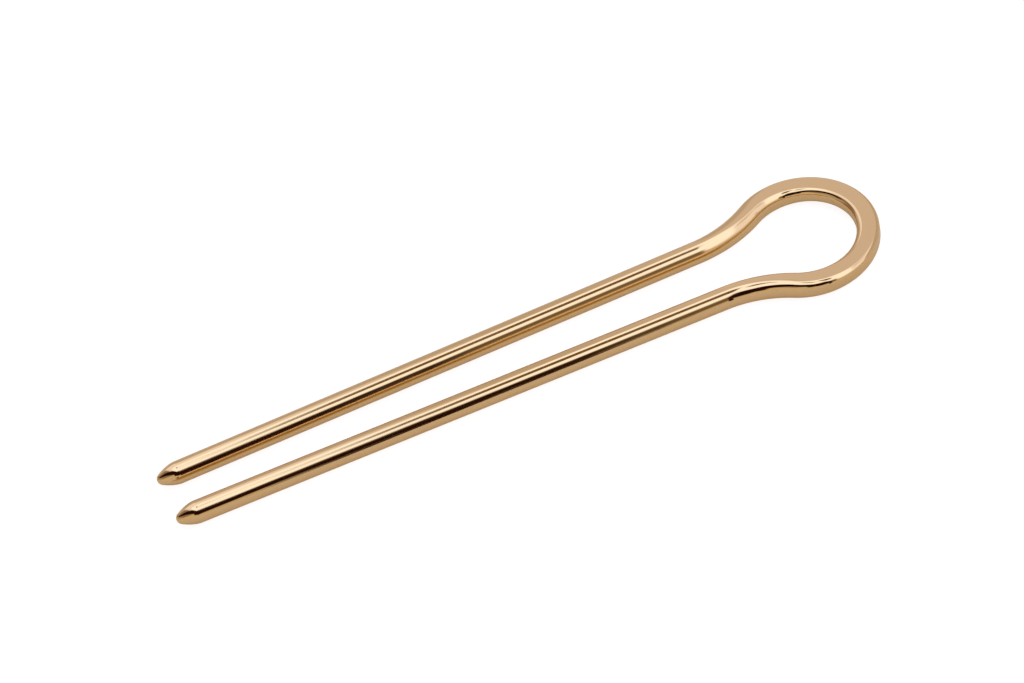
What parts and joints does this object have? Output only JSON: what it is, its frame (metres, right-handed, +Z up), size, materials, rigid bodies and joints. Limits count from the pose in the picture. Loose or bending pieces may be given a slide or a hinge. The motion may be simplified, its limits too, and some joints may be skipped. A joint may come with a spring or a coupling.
{
  "type": "hairpin",
  "caption": "Polished wire hairpin with slim straight prongs, bullet tips and an open keyhole loop head forged flat; pushes through gathered hair to hold it in place.",
  "frame": {"origin": "under the middle of the pin's length and width, on the surface that its prongs lie on", "axes": "+X from the prong tips to the crown of the loop, +Y across the prongs, +Z up through the thickness"},
  "size_m": [0.1054, 0.0212, 0.0032],
  "materials": {
    "polished_gold": "mirror polished, warm gold colour"
  },
  "bodies": {
    "root": {"hairpin": "polished_gold"}
  },
  "joints": []
}
